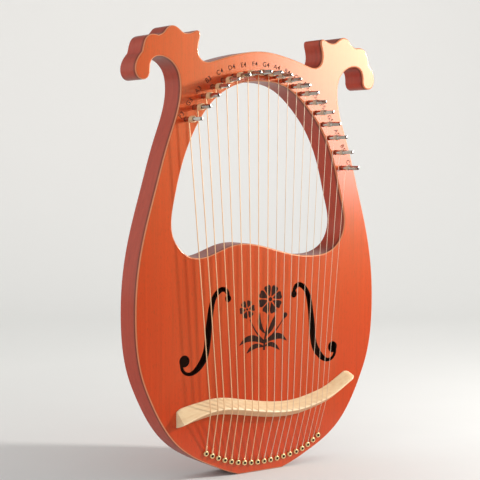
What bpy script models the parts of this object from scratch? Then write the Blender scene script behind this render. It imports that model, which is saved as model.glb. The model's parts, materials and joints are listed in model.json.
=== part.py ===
"""A nineteen-string lyre: routed mahogany body, glued soundboard, maple bridge, and for each
string a steel tuning pin, a brass-ended wire and a hitch pin.

Axes: X across the strings, low notes at negative X; Z up the strings; the front faces negative Y.
The origin is the middle of the flat at the foot. All dimensions below are in millimetres.
"""

import math

import bmesh
import bpy
import numpy as np

MM = 0.001

# ---- overall ---------------------------------------------------------------------------------
THICKNESS = 33.0
FRONT = -THICKNESS / 2
BACK = THICKNESS / 2
SOUNDBOARD_THICK = 3.0
BACK_WALL = 3.0
FOOT_HALF = 30.0
EDGE_SOFTEN = 1.2
GAP = 0.3
TURN_PER_POINT = math.radians(7)
LONGEST_CHORD = 32.0

# ---- strings ---------------------------------------------------------------------------------
NOTES = ["F3", "G3", "A3", "B3", "C4", "D4", "E4", "F4", "G4", "A4",
         "B4", "C5", "D5", "E5", "F5", "G5", "A5", "B5", "C6"]
STRINGS = len(NOTES)
WOUND_STRINGS = 9
THICKEST_WIRE = 1.1
THINNEST_WIRE = 0.5
WIRE_SIDES = 5
COIL_TURNS = 2.0
COIL_SEGMENTS = 9
COIL_START = 10.5

# ---- tuning pins -----------------------------------------------------------------------------
PIN_RADIUS = 2.5
PIN_PROUD = 30.5
PIN_SUNK = 24.0
PIN_SIDES = 10
PIN_HEAD_LENGTH = 11.0
PIN_HEAD_HALF = 1.8
PIN_HOLE_RADIUS = 0.8
PIN_HOLE_HEIGHT = 14.0
PIN_BORE_SPARE = 1.5

# ---- hitch pins and ball ends ----------------------------------------------------------------
HITCH_RADIUS = 1.0
HITCH_PROUD = 3.6
HITCH_SUNK = 14.0
HITCH_SIDES = 8
HITCH_KEYS = {0: (-74.3, 28.8), 2: (-58.2, 21.8), 4: (-41, 15.8), 6: (-23.3, 12.3),
              13: (39.3, 14.2), 15: (57, 18.4), 18: (79.8, 31.2)}
BALL_RADIUS = 2.75
BALL_LENGTH = 2.2
BALL_SIDES = 10

# ---- bridge ----------------------------------------------------------------------------------
BRIDGE_HEIGHT = 12.0
BRIDGE_UPPER = [(0, 12.6), (4, 14.0), (15, 12.9), (32, 11.3), (60, 10.9), (79, 10.2), (128, 10.0),
                (190, 9.8), (228, 9.2), (260, 9.2)]
BRIDGE_LOWER = [(0, 4.6), (1.5, 5.4), (8, 6.1), (17, 6.4), (30, 7.3), (80, 7.2), (260, 7.5)]
BRIDGE_END_ROUND = 9.0
BRIDGE_END_LEAN = 2.6
CROSSINGS = [-75.7, -66.1, -57.9, -47.2, -39.4, -29.9, -20.6, -12.2, -0.9, 9.0,
             18.8, 27.1, 35.3, 44.5, 53.0, 61.5, 69.3, 76.8, 83.5]

# Right half of the outline, foot to crown. Each list is one smooth run; runs meet at a crease.
FLANK = [(FOOT_HALF, 0), (45, 5), (60, 11.5), (91, 27), (111.5, 43), (130.5, 68), (143.5, 93),
         (153.5, 118), (159, 143), (161.5, 180), (159.9, 218), (151, 268), (136.7, 318),
         (121.2, 368), (112.2, 393), (107.3, 413), (106.6, 428), (110, 442), (117, 450.5),
         (127, 455.2), (135, 455.3), (141, 451.5), (143.4, 444), (143.6, 438)]
HORN_TIP = [(143.6, 438), (146.5, 432.5), (152, 430.5), (157.5, 432.3), (161, 438),
            (161.2, 445), (158, 453), (153, 459.5)]
HORN_LOBE = [(153, 459.5), (151.2, 467), (147, 475.2), (140, 478.2), (133, 477.5)]
CROWN_LOBE = [(133, 477.5), (127, 480.7), (121.5, 486.7), (114, 488.5), (106.5, 484.8),
              (101, 481.5), (97, 481.3)]
BEAK_AND_NECK = [(97, 481.3), (91.5, 482.6), (87, 484.7), (84, 485), (82, 483.6), (81.4, 480.8),
                 (82.8, 474), (84, 466), (82, 457.5), (78.5, 454), (73.5, 452.3), (66, 453.3),
                 (50, 458.2), (30, 463.2), (15, 466), (0, 467)]

# Hand opening, all round, starting at its left flank and passing over the top.
OPENING = [(-117.2, 278), (-113.5, 306), (-105.5, 338), (-94, 368), (-80, 393), (-62, 413.5),
           (-40, 427.2), (-20, 433), (0, 434.3), (20, 432.8), (40, 425.3), (60, 409.5),
           (80, 387), (95, 361), (105, 333), (113, 303), (118, 281), (116, 265),
           (107, 250.5), (92, 242), (72, 239.5), (50, 241), (25, 246.5), (0, 253),
           (-22, 256), (-42, 253.5), (-62, 246.5), (-80, 242.3), (-96, 245),
           (-108, 254.5), (-115, 266)]

# Sound box pocket, all round, starting at the bottom.
POCKET = [(3.5, 24.5), (50, 32), (85, 49.5), (112, 72), (130, 100), (141, 124), (147, 160),
          (147.5, 195), (143, 212), (125, 222), (85, 224), (50, 227), (0, 238.5),
          (-25, 241.5), (-60, 232), (-85, 226), (-125, 222), (-143, 212), (-147.5, 195),
          (-147, 160), (-141, 124), (-130, 100), (-110, 77), (-80, 50.7), (-45, 32.8)]

# Feet of some tuning pins, by string number; the rest lie on the smooth curve through them.
PIN_KEYS = {0: (-99.7, 390.4), 3: (-66, 425.9), 6: (-24.3, 441.5), 9: (17, 440.6),
            13: (65, 412.8), 16: (95, 373.8), 18: (112.8, 339.2)}

# Crest line of the bridge.
BRIDGE_CREST = [(-109.2, 65.8), (-100, 69), (-88, 72.8), (-72, 76.3), (-58, 77.2), (-40, 75.5),
                (-15, 71.2), (11, 67.3), (31, 66), (51, 67.3), (71, 71.3), (91, 77.3),
                (111, 87.8), (123, 94.5), (128.2, 97.0)]

# Right sound hole: centre line and width of its stem, then its two round ends.
F_STEM = [(45, 198), (46.5, 204), (51.5, 207), (58, 204.5), (63, 199), (66.5, 190), (69, 176),
          (71, 160), (72.5, 146), (75, 136), (80, 127.5), (86.5, 121), (93, 117.7),
          (100, 118.7), (104.5, 124), (104.5, 131)]
F_WIDTHS = [4.0, 5.0, 5.5, 6.0, 6.0, 7.0, 7.5, 8.5, 8.0, 8.5, 8.0, 6.5, 4.5, 3.6, 4.0, 5.0]
F_UPPER_EYE = (45.0, 196.5, 4.0)
F_LOWER_EYE = (101.5, 132.0, 6.5)


# ---- curves ----------------------------------------------------------------------------------
def spline(knots, points, at):
    """Natural cubic spline through the points, evaluated at the parameters."""
    knots = np.asarray(knots, float)
    points = np.asarray(points, float)
    count = len(knots)
    step = np.diff(knots)
    system = np.eye(count)
    right = np.zeros_like(points)
    for i in range(1, count - 1):
        system[i, i - 1] = step[i - 1]
        system[i, i] = 2 * (step[i - 1] + step[i])
        system[i, i + 1] = step[i]
        right[i] = 6 * ((points[i + 1] - points[i]) / step[i]
                        - (points[i] - points[i - 1]) / step[i - 1])
    bend = np.linalg.solve(system, right)
    at = np.asarray(at, float)
    k = np.clip(np.searchsorted(knots, at) - 1, 0, count - 2)
    h = step[k][:, None]
    a = (knots[k + 1] - at)[:, None] / h
    b = (at - knots[k])[:, None] / h
    return (a * points[k] + b * points[k + 1]
            + ((a ** 3 - a) * bend[k] + (b ** 3 - b) * bend[k + 1]) * h ** 2 / 6)


def chord_lengths(points):
    points = np.asarray(points, float)
    return np.concatenate([[0], np.cumsum(np.linalg.norm(np.diff(points, axis=0), axis=1))])


def thinned(points):
    """Keeps a point wherever the curve has turned, or run on, far enough since the last one."""
    kept = [points[0]]
    turned = 0.0
    for before, here, after in zip(points, points[1:], points[2:]):
        first = here - before
        second = after - here
        cross = first[0] * second[1] - first[1] * second[0]
        turned += abs(math.atan2(cross, float(np.dot(first, second))))
        if turned >= TURN_PER_POINT or np.linalg.norm(here - kept[-1]) > LONGEST_CHORD:
            kept.append(here)
            turned = 0.0
    kept.append(points[-1])
    return kept


def smooth_run(points):
    """An open smooth curve through the points."""
    lengths = chord_lengths(points)
    dense = spline(lengths, points, np.linspace(0, lengths[-1], 12 * len(points)))
    return thinned(dense)


def smooth_loop(points):
    """A closed smooth curve through the points, without repeating the first."""
    lap = 4
    wrapped = points[-lap:] + points + points[:lap + 1]
    lengths = chord_lengths(wrapped)
    start = lengths[lap]
    end = lengths[lap + len(points)]
    dense = spline(lengths, wrapped, np.linspace(start, end, 12 * len(points)))
    return thinned(dense)[:-1]


def mirrored(points):
    return [(-x, z) for x, z in reversed(points)]


def body_outline():
    """The whole outline, anticlockwise seen from the back, starting at the foot."""
    right = []
    for run in (FLANK, HORN_TIP, HORN_LOBE, CROWN_LOBE):
        right += [tuple(p) for p in smooth_run(run)][:-1]
    top = [tuple(p) for p in smooth_run(BEAK_AND_NECK + mirrored(BEAK_AND_NECK)[1:])]
    return right + top + mirrored(right)


def offset(loop, distance):
    """The closed loop moved outward by the distance, or inward if it is negative."""
    loop = np.asarray(loop, float)
    ahead = np.roll(loop, -1, axis=0) - loop
    ahead /= np.linalg.norm(ahead, axis=1)[:, None]
    behind = np.roll(ahead, 1, axis=0)
    area = np.sum(loop[:, 0] * np.roll(loop[:, 1], -1) - loop[:, 1] * np.roll(loop[:, 0], -1))
    side = np.sign(area)
    normal_ahead = np.stack([ahead[:, 1], -ahead[:, 0]], axis=1) * side
    normal_behind = np.stack([behind[:, 1], -behind[:, 0]], axis=1) * side
    bisector = normal_ahead + normal_behind
    scale = 2 / np.maximum(np.sum(bisector ** 2, axis=1), 1.0)
    return loop + bisector * scale[:, None] * distance


def circle(x, z, radius, sides):
    turn = 2 * math.pi / sides
    return [(x + radius * math.cos(turn * (i + 0.5)), z + radius * math.sin(turn * (i + 0.5)))
            for i in range(sides)]


# ---- solids ----------------------------------------------------------------------------------
def material(name, colour, roughness, metallic=0.0):
    made = bpy.data.materials.new(name)
    made.use_nodes = True
    shader = made.node_tree.nodes["Principled BSDF"]
    shader.inputs["Base Color"].default_value = (*colour, 1)
    shader.inputs["Roughness"].default_value = roughness
    shader.inputs["Metallic"].default_value = metallic
    return made


def solid(name, vertices, faces, origin=(0, 0, 0)):
    """A closed mesh object from millimetre vertices, its object origin at the given point."""
    work = bmesh.new()
    made = [work.verts.new([(v[k] - origin[k]) * MM for k in range(3)]) for v in vertices]
    for face in faces:
        work.faces.new([made[i] for i in face])
    bmesh.ops.recalc_face_normals(work, faces=work.faces[:])
    mesh = bpy.data.meshes.new(name)
    work.to_mesh(mesh)
    work.free()
    thing = bpy.data.objects.new(name, mesh)
    thing.location = [c * MM for c in origin]
    bpy.context.scene.collection.objects.link(thing)
    return thing


def loft(rings):
    """Vertices and faces of a closed solid through rings with equal numbers of points."""
    count = len(rings[0])
    vertices = [tuple(p) for ring in rings for p in ring]
    faces = [list(range(count))]
    for level in range(len(rings) - 1):
        low = level * count
        for i in range(count):
            j = (i + 1) % count
            faces.append([low + i, low + j, low + count + j, low + count + i])
    last = (len(rings) - 1) * count
    faces.append([last + i for i in reversed(range(count))])
    return vertices, faces


def slab(name, levels, origin=(0, 0, 0)):
    """A plate along Y: levels are (closed loop in X and Z, y)."""
    rings = [[(x, y, z) for x, z in loop] for loop, y in levels]
    return solid(name, *loft(rings), origin)


def joined(name, shapes):
    """One helper object holding several separate closed shapes."""
    vertices = []
    faces = []
    for some_vertices, some_faces in shapes:
        start = len(vertices)
        vertices += some_vertices
        faces += [[start + i for i in face] for face in some_faces]
    return solid(name, vertices, faces)


def combine(target, other, operation):
    """Applies a Boolean with the other object, then removes that object."""
    modifier = target.modifiers.new(operation.title(), "BOOLEAN")
    modifier.operation = operation
    modifier.solver = "EXACT"
    modifier.object = other
    graph = bpy.context.evaluated_depsgraph_get()
    result = bpy.data.meshes.new_from_object(target.evaluated_get(graph))
    target.modifiers.clear()
    target.data = result
    bpy.data.objects.remove(other)


def dressed(thing, coat, smooth_angle=None):
    thing.data.materials.clear()
    thing.data.materials.append(coat)
    if smooth_angle is not None:
        thing.data.shade_smooth()
        thing.data.set_sharp_from_angle(angle=math.radians(smooth_angle))
    return thing


def tube(path, radius):
    """A swept wire with flat ends. The section keeps one flat turned to the front."""
    path = np.asarray(path, float)
    rings = []
    for i, point in enumerate(path):
        before = path[max(i - 1, 0)]
        after = path[min(i + 1, len(path) - 1)]
        along = (after - before) / np.linalg.norm(after - before)
        side = np.cross(along, (0, 1, 0))
        side /= np.linalg.norm(side)
        up = np.cross(side, along)
        ring = []
        for k in range(WIRE_SIDES):
            angle = 2 * math.pi * k / WIRE_SIDES
            ring.append(point + radius * (math.cos(angle) * side + math.sin(angle) * up))
        rings.append(ring)
    return loft(rings)


# ---- places of the strings -------------------------------------------------------------------
def wire_radius(i):
    return (THICKEST_WIRE + (THINNEST_WIRE - THICKEST_WIRE) * i / (STRINGS - 1)) / 2


def hitch_place(i):
    x, z = spline(list(HITCH_KEYS), list(HITCH_KEYS.values()), [i])[0]
    return float(x), float(z)


def pin_places():
    places = spline(list(PIN_KEYS), list(PIN_KEYS.values()), range(STRINGS))
    return [(float(x), float(z)) for x, z in places]


def crest_height(x):
    """Height on the Z axis of the bridge crest at x."""
    xs = [p[0] for p in BRIDGE_CREST]
    zs = [[p[1]] for p in BRIDGE_CREST]
    return float(spline(xs, zs, [x])[0, 0])


def crest_point(i):
    """Where a string crosses the crest; the saw cuts are spaced by eye, so not evenly."""
    x = CROSSINGS[i]
    return x, FRONT - GAP - BRIDGE_HEIGHT, crest_height(x)


# ---- the wooden parts ------------------------------------------------------------------------
def make_body(outline, opening, pins, mahogany):
    """The board that is rim, arms, crown and back in one, with the sound box routed into it."""
    front = FRONT + SOUNDBOARD_THICK + GAP
    body = slab("body", [(outline, front), (outline, BACK - EDGE_SOFTEN),
                         (offset(outline, -EDGE_SOFTEN), BACK)])
    wide = offset(opening, EDGE_SOFTEN)
    combine(body, slab("cut", [(opening, front - 1), (opening, BACK - EDGE_SOFTEN),
                               (wide, BACK), (wide, BACK + 1)]), "DIFFERENCE")
    pocket = smooth_loop(POCKET)
    combine(body, slab("cut", [(pocket, front - 1), (pocket, BACK - BACK_WALL)]), "DIFFERENCE")
    bores = []
    for x, z in pins:
        loop = circle(x, z, PIN_RADIUS + GAP, PIN_SIDES)
        end = FRONT + PIN_SUNK + PIN_BORE_SPARE
        bores.append(loft([[(u, y, w) for u, w in loop] for y in (front - 1, end)]))
    for i in range(STRINGS):
        loop = circle(*hitch_place(i), HITCH_RADIUS + GAP, HITCH_SIDES)
        end = FRONT + HITCH_SUNK + GAP
        bores.append(loft([[(u, y, w) for u, w in loop] for y in (front - 1, end)]))
    combine(body, joined("cut", bores), "DIFFERENCE")
    return dressed(body, mahogany, 35)


def sound_hole(side):
    """Cutter for one sound hole: the swept stem joined to its two eyes."""
    low = FRONT - 1
    high = FRONT + SOUNDBOARD_THICK + 1
    knots = chord_lengths(F_STEM)
    at = np.linspace(0, knots[-1], 34)
    line = spline(knots, F_STEM, at)
    widths = spline(knots, [[w] for w in F_WIDTHS], at)[:, 0]
    along = np.gradient(line, axis=0)
    along /= np.linalg.norm(along, axis=1)[:, None]
    across = np.stack([-along[:, 1], along[:, 0]], axis=1) * widths[:, None] / 2
    loop = [tuple(p) for p in line + across] + [tuple(p) for p in (line - across)[::-1]]
    eyes = [circle(*F_UPPER_EYE, 12), circle(*F_LOWER_EYE, 16)]
    flip = [[(side * x, z) for x, z in shape] for shape in [loop] + eyes]
    cutter = slab("cut", [(flip[0], low), (flip[0], high)])
    for eye in flip[1:]:
        combine(cutter, slab("eye", [(eye, low), (eye, high)]), "UNION")
    return cutter


def make_soundboard(outline, opening, pins, mahogany):
    back = FRONT + SOUNDBOARD_THICK
    board = slab("soundboard", [(offset(outline, -EDGE_SOFTEN), FRONT),
                                (outline, FRONT + EDGE_SOFTEN), (outline, back)])
    wide = offset(opening, EDGE_SOFTEN)
    combine(board, slab("cut", [(wide, FRONT - 1), (wide, FRONT),
                                (opening, FRONT + EDGE_SOFTEN), (opening, back + 1)]),
            "DIFFERENCE")
    for side in (1, -1):
        combine(board, sound_hole(side), "DIFFERENCE")
    bores = []
    for x, z in pins:
        loop = circle(x, z, PIN_RADIUS + GAP, PIN_SIDES)
        bores.append(loft([[(u, y, w) for u, w in loop] for y in (FRONT - 1, back + 1)]))
    for i in range(STRINGS):
        loop = circle(*hitch_place(i), HITCH_RADIUS + GAP, HITCH_SIDES)
        bores.append(loft([[(u, y, w) for u, w in loop] for y in (FRONT - 1, back + 1)]))
    combine(board, joined("cut", bores), "DIFFERENCE")
    return dressed(board, mahogany, 35)


def make_bridge(maple):
    """A ridged bar along an S: wide slope above the crest, steep slope below, right end rounded."""
    lengths = chord_lengths(BRIDGE_CREST)
    total = lengths[-1]
    straight = [0, 1.5, 4] + list(np.linspace(9, total - BRIDGE_END_ROUND, 25))
    turning = [total - BRIDGE_END_ROUND * (1 - math.sin(math.radians(a))) for a in (25, 45, 65, 82)]
    at = straight + turning
    line = spline(lengths, BRIDGE_CREST, at)
    along = np.gradient(spline(lengths, BRIDGE_CREST, np.linspace(0, total, 400)), axis=0)
    rings = []
    foot = FRONT - GAP
    for place, (x, z) in zip(at, line):
        u = max(0.0, (place - (total - BRIDGE_END_ROUND)) / BRIDGE_END_ROUND)
        shrink = math.sqrt(1 - u * u)
        ax, az = along[min(399, int(399 * place / total))]
        upright = max(0.0, 1 - place / 30)
        nx, nz = -az * (1 - upright), ax * (1 - upright) + upright * math.hypot(ax, az)
        size = math.hypot(nx, nz)
        nx, nz = nx / size, nz / size
        tall = BRIDGE_HEIGHT * (0.35 + 0.65 * shrink)
        low = float(np.interp(place, *zip(*BRIDGE_LOWER)))
        high = float(np.interp(place, *zip(*BRIDGE_UPPER)))
        middle = (high - low) / 2
        section = [(-low, 0), (-low, 1.0), (-0.9, tall - 0.5), (-0.3, tall),
                   (0.6, tall), (1.4, tall - 0.6), (high, 1.6), (high, 0)]
        ring = []
        for across, height in section:
            across = middle + (across - middle) * shrink
            lean = BRIDGE_END_LEAN * upright * (1 - height / tall)
            ring.append((x + nx * across - lean, foot - height, z + nz * across))
        rings.append(ring)
    bridge = solid("bridge", *loft(rings))
    notches = []
    for i in range(STRINGS):
        x, y, z = crest_point(i)
        half = wire_radius(i) + GAP
        box = [(x - half, z - 5), (x + half, z - 5), (x + half, z + 5), (x - half, z + 5)]
        notches.append(loft([[(u, level, w) for u, w in box] for level in (y - 2, y + half)]))
    combine(bridge, joined("cut", notches), "DIFFERENCE")
    return dressed(bridge, maple, 30)


# ---- pins and strings ------------------------------------------------------------------------
def pin_section(radius, half, blend):
    """One ring of the tuning pin, from round (blend 0) to square with cut corners (blend 1)."""
    ring = []
    for k in range(PIN_SIDES):
        angle = 2 * math.pi * (k + 0.5) / PIN_SIDES
        c, s = math.cos(angle), math.sin(angle)
        square = half / max(abs(c), abs(s))
        reach = (1 - blend) * radius + blend * min(square, half * 1.32)
        ring.append((reach * c, reach * s))
    return ring


def make_tuning_pin(note, place, steel):
    x, z = place
    tip = FRONT - PIN_PROUD
    head_end = tip + PIN_HEAD_LENGTH
    inner = FRONT + PIN_SUNK
    levels = [(tip, 0, PIN_HEAD_HALF - 0.4, 1), (tip + 0.5, 0, PIN_HEAD_HALF, 1),
              (head_end, 0, PIN_HEAD_HALF + 0.15, 1), (head_end + 1.2, PIN_RADIUS, 0, 0),
              (inner - 1.0, PIN_RADIUS, 0, 0), (inner, PIN_RADIUS - 0.7, 0, 0)]
    rings = []
    for y, radius, half, blend in levels:
        rings.append([(x + u, y, z + w) for u, w in pin_section(radius, half, blend)])
    pin = solid(f"tuning_pin_{note}", *loft(rings), origin=(x, FRONT, z))
    y = FRONT - PIN_HOLE_HEIGHT
    drill = []
    for level in (z - 4, z + 4):
        drill.append([(x + PIN_HOLE_RADIUS * math.cos(math.pi * k / 3),
                       y + PIN_HOLE_RADIUS * math.sin(math.pi * k / 3), level)
                      for k in range(6)])
    combine(pin, solid("drill", *loft(drill)), "DIFFERENCE")
    return dressed(pin, steel, 40)


def make_hitch_pin(note, place, steel):
    x, z = place
    tip = FRONT - HITCH_PROUD
    inner = FRONT + HITCH_SUNK
    levels = [(tip, HITCH_RADIUS - 0.35), (tip + 0.35, HITCH_RADIUS), (inner, HITCH_RADIUS)]
    rings = []
    for y, radius in levels:
        rings.append([(u, y, w) for u, w in circle(x, z, radius, HITCH_SIDES)])
    return dressed(solid(f"hitch_pin_{note}", *loft(rings)), steel, 50)


def string_path(i, place):
    """Ball end, over the bridge, up to the pin's low side, then round it towards its head."""
    radius = wire_radius(i)
    ball_x, ball_z = hitch_place(i)
    x, z = place
    wrap = (PIN_RADIUS + GAP + radius) / math.cos(math.pi / COIL_SEGMENTS)
    pitch = 2 * radius + GAP
    path = [(ball_x, FRONT - GAP - BALL_LENGTH / 2, ball_z + 2.0), crest_point(i)]
    for k in range(int(COIL_TURNS * COIL_SEGMENTS) + 1):
        turn = k / COIL_SEGMENTS
        angle = math.pi - 2 * math.pi * turn
        y = FRONT - COIL_START - pitch * turn
        path.append((x + wrap * math.cos(angle), y, z + wrap * math.sin(angle)))
    return path


def make_string(i, note, place, wire_metal):
    x, z = hitch_place(i)
    hole = circle(x, z, HITCH_RADIUS + GAP + 0.1, HITCH_SIDES)
    near = FRONT - GAP - BALL_LENGTH
    rim = circle(x, z, BALL_RADIUS, BALL_SIDES)
    ball = slab(f"string_{note}", [(rim, near), (rim, FRONT - GAP)])
    combine(ball, slab("cut", [(hole, near - 1), (hole, FRONT + 1)]), "DIFFERENCE")
    wire = solid("wire", *tube(string_path(i, place), wire_radius(i)))
    combine(ball, wire, "UNION")
    return dressed(ball, wire_metal, 50)


# ---- assembly --------------------------------------------------------------------------------
def main():
    for thing in list(bpy.data.objects):
        bpy.data.objects.remove(thing)
    mahogany = material("lacquered_mahogany", (0.52, 0.11, 0.04), 0.32)
    board = material("soundboard_mahogany", (0.60, 0.14, 0.05), 0.30)
    maple = material("pale_maple", (0.83, 0.62, 0.38), 0.45)
    steel = material("nickelled_steel", (0.70, 0.70, 0.72), 0.22, 1.0)
    nail = material("dark_steel", (0.12, 0.10, 0.08), 0.40, 1.0)
    bronze = material("bronze_wire", (0.80, 0.56, 0.26), 0.30, 1.0)
    plain = material("plain_steel_wire", (0.72, 0.70, 0.66), 0.30, 1.0)
    outline = body_outline()
    opening = smooth_loop(OPENING)
    pins = pin_places()
    make_body(outline, opening, pins, mahogany)
    make_soundboard(outline, opening, pins, board)
    make_bridge(maple)
    for i, note in enumerate(NOTES):
        make_tuning_pin(note, pins[i], steel)
        make_hitch_pin(note, hitch_place(i), nail)
        make_string(i, note, pins[i], bronze if i < WOUND_STRINGS else plain)


main()
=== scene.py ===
"""The looks of a nineteen-string lyre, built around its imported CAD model.

Same axes as the CAD: X across the strings, Z up, the front faces negative Y. Shapes are given in
millimetres and turned into metres as they are made.
"""

import json
import math

import bmesh
import bpy
import numpy as np
from mathutils import Matrix, Vector


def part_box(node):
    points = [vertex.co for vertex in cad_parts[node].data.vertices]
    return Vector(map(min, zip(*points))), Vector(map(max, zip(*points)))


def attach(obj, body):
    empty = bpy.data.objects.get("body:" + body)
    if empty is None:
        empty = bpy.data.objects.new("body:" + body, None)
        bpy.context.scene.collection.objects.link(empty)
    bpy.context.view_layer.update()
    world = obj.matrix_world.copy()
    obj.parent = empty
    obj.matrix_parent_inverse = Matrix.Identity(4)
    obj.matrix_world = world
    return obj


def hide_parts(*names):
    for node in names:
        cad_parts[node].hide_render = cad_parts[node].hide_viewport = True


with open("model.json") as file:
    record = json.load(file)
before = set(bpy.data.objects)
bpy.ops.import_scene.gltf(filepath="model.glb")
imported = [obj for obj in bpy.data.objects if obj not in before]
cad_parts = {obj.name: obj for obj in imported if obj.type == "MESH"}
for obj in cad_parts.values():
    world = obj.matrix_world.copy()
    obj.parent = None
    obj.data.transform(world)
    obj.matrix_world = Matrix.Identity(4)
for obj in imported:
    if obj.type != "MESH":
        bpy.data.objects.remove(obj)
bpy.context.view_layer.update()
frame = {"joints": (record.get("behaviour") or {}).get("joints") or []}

MM = 0.001
ROOT = "instrument"
NOTES = [joint["name"].removeprefix("turn_") for joint in frame["joints"]]
STRINGS = len(NOTES)
WOUND_STRINGS = 9

# ---- places taken from the CAD ---------------------------------------------------------------
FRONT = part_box("soundboard")[0].y / MM
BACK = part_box("body")[1].y / MM
SOUNDBOARD_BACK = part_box("soundboard")[1].y / MM
PIN_FEET = [(joint["pos_m"][0] / MM, joint["pos_m"][2] / MM) for joint in frame["joints"]]
PIN_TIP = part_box(f"tuning_pin_{NOTES[0]}")[0].y / MM
PIN_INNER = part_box(f"tuning_pin_{NOTES[0]}")[1].y / MM
CREST_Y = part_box("bridge")[0].y / MM
BRIDGE_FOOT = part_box("bridge")[1].y / MM

# ---- outline, as in the CAD ------------------------------------------------------------------
FLANK = [(30, 0), (45, 5), (60, 11.5), (91, 27), (111.5, 43), (130.5, 68), (143.5, 93),
         (153.5, 118), (159, 143), (161.5, 180), (159.9, 218), (151, 268), (136.7, 318),
         (121.2, 368), (112.2, 393), (107.3, 413), (106.6, 428), (110, 442), (117, 450.5),
         (127, 455.2), (135, 455.3), (141, 451.5), (143.4, 444), (143.6, 438)]
HORN_TIP = [(143.6, 438), (146.5, 432.5), (152, 430.5), (157.5, 432.3), (161, 438),
            (161.2, 445), (158, 453), (153, 459.5)]
HORN_LOBE = [(153, 459.5), (151.2, 467), (147, 475.2), (140, 478.2), (133, 477.5)]
CROWN_LOBE = [(133, 477.5), (127, 480.7), (121.5, 486.7), (114, 488.5), (106.5, 484.8),
              (101, 481.5), (97, 481.3)]
BEAK_AND_NECK = [(97, 481.3), (91.5, 482.6), (87, 484.7), (84, 485), (82, 483.6), (81.4, 480.8),
                 (82.8, 474), (84, 466), (82, 457.5), (78.5, 454), (73.5, 452.3), (66, 453.3),
                 (50, 458.2), (30, 463.2), (15, 466), (0, 467)]
OPENING = [(-117.2, 278), (-113.5, 306), (-105.5, 338), (-94, 368), (-80, 393), (-62, 413.5),
           (-40, 427.2), (-20, 433), (0, 434.3), (20, 432.8), (40, 425.3), (60, 409.5),
           (80, 387), (95, 361), (105, 333), (113, 303), (118, 281), (116, 265),
           (107, 250.5), (92, 242), (72, 239.5), (50, 241), (25, 246.5), (0, 253),
           (-22, 256), (-42, 253.5), (-62, 246.5), (-80, 242.3), (-96, 245),
           (-108, 254.5), (-115, 266)]
POCKET = [(3.5, 24.5), (50, 32), (85, 49.5), (112, 72), (130, 100), (141, 124), (147, 160),
          (147.5, 195), (143, 212), (125, 222), (85, 224), (50, 227), (0, 238.5),
          (-25, 241.5), (-60, 232), (-85, 226), (-125, 222), (-143, 212), (-147.5, 195),
          (-147, 160), (-141, 124), (-130, 100), (-110, 77), (-80, 50.7), (-45, 32.8)]
BRIDGE_CREST = [(-109.2, 65.8), (-100, 69), (-88, 72.8), (-72, 76.3), (-58, 77.2), (-40, 75.5),
                (-15, 71.2), (11, 67.3), (31, 66), (51, 67.3), (71, 71.3), (91, 77.3),
                (111, 87.8), (123, 94.5), (128.2, 97.0)]
F_STEM = [(45, 198), (46.5, 204), (51.5, 207), (58, 204.5), (63, 199), (66.5, 190), (69, 176),
          (71, 160), (72.5, 146), (75, 136), (80, 127.5), (86.5, 121), (93, 117.7),
          (100, 118.7), (104.5, 124), (104.5, 131)]
F_WIDTHS = [4.0, 5.0, 5.5, 6.0, 6.0, 7.0, 7.5, 8.5, 8.0, 8.5, 8.0, 6.5, 4.5, 3.6, 4.0, 5.0]
F_UPPER_EYE = (45.0, 196.5, 4.0)
F_LOWER_EYE = (101.5, 132.0, 6.5)

# Starts and depths are counted forward from the front of the soundboard.
EDGE_ROUND = 1.5
BACK_WALL = 3.0
PIN_RADIUS = 2.5
PIN_HEAD_LENGTH = 11.0
PIN_HEAD_HALF = 1.8
COIL_START = 10.5
COIL_PITCH = 1.05
EYE_DEPTH = 17.2
GAP = 0.3
CROSSINGS = [-75.7, -66.1, -57.9, -47.2, -39.4, -29.9, -20.6, -12.2, -0.9, 9.0,
             18.8, 27.1, 35.3, 44.5, 53.0, 61.5, 69.3, 76.8, 83.5]
BALL_LENGTH = 2.2
BRIDGE_UPPER = [(0, 12.6), (4, 14.0), (15, 12.9), (32, 11.3), (60, 10.9), (79, 10.2), (128, 10.0),
                (190, 9.8), (228, 9.2), (260, 9.2)]
BRIDGE_LOWER = [(0, 4.6), (1.5, 5.4), (8, 6.1), (17, 6.4), (30, 7.3), (80, 7.2), (260, 7.5)]
BRIDGE_END_ROUND = 9.0
BRIDGE_END_LEAN = 2.6

# ---- light -----------------------------------------------------------------------------------
WORLD_LEVEL = 0.97
WORLD_OVERHEAD = 0.60
FLAG_DIRECTION = (0.60, -0.80, 0.0)
FLAG_LEVEL = 0.05
# Name, place, target, size, power, colour, and whether it shows only as a shine (metres, watts).
LAMPS = [
    ("key", (1.02, -0.63, 0.65), (0.05, 0, 0.30), (0.09, 0.09), 15.5, (1.0, 0.97, 0.92), False),
    ("sheen", (1.61, -1.58, 0.67), (0.05, 0, 0.32), (0.75, 0.85), 11, (1.0, 0.90, 1.0), True),
]


# ---- curves ----------------------------------------------------------------------------------
def spline(knots, points, at):
    """Natural cubic spline through the points, evaluated at the parameters."""
    knots = np.asarray(knots, float)
    points = np.asarray(points, float)
    count = len(knots)
    step = np.diff(knots)
    system = np.eye(count)
    right = np.zeros_like(points)
    for i in range(1, count - 1):
        system[i, i - 1] = step[i - 1]
        system[i, i] = 2 * (step[i - 1] + step[i])
        system[i, i + 1] = step[i]
        right[i] = 6 * ((points[i + 1] - points[i]) / step[i]
                        - (points[i] - points[i - 1]) / step[i - 1])
    bend = np.linalg.solve(system, right)
    at = np.asarray(at, float)
    k = np.clip(np.searchsorted(knots, at) - 1, 0, count - 2)
    h = step[k][:, None]
    a = (knots[k + 1] - at)[:, None] / h
    b = (at - knots[k])[:, None] / h
    return (a * points[k] + b * points[k + 1]
            + ((a ** 3 - a) * bend[k] + (b ** 3 - b) * bend[k + 1]) * h ** 2 / 6)


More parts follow.
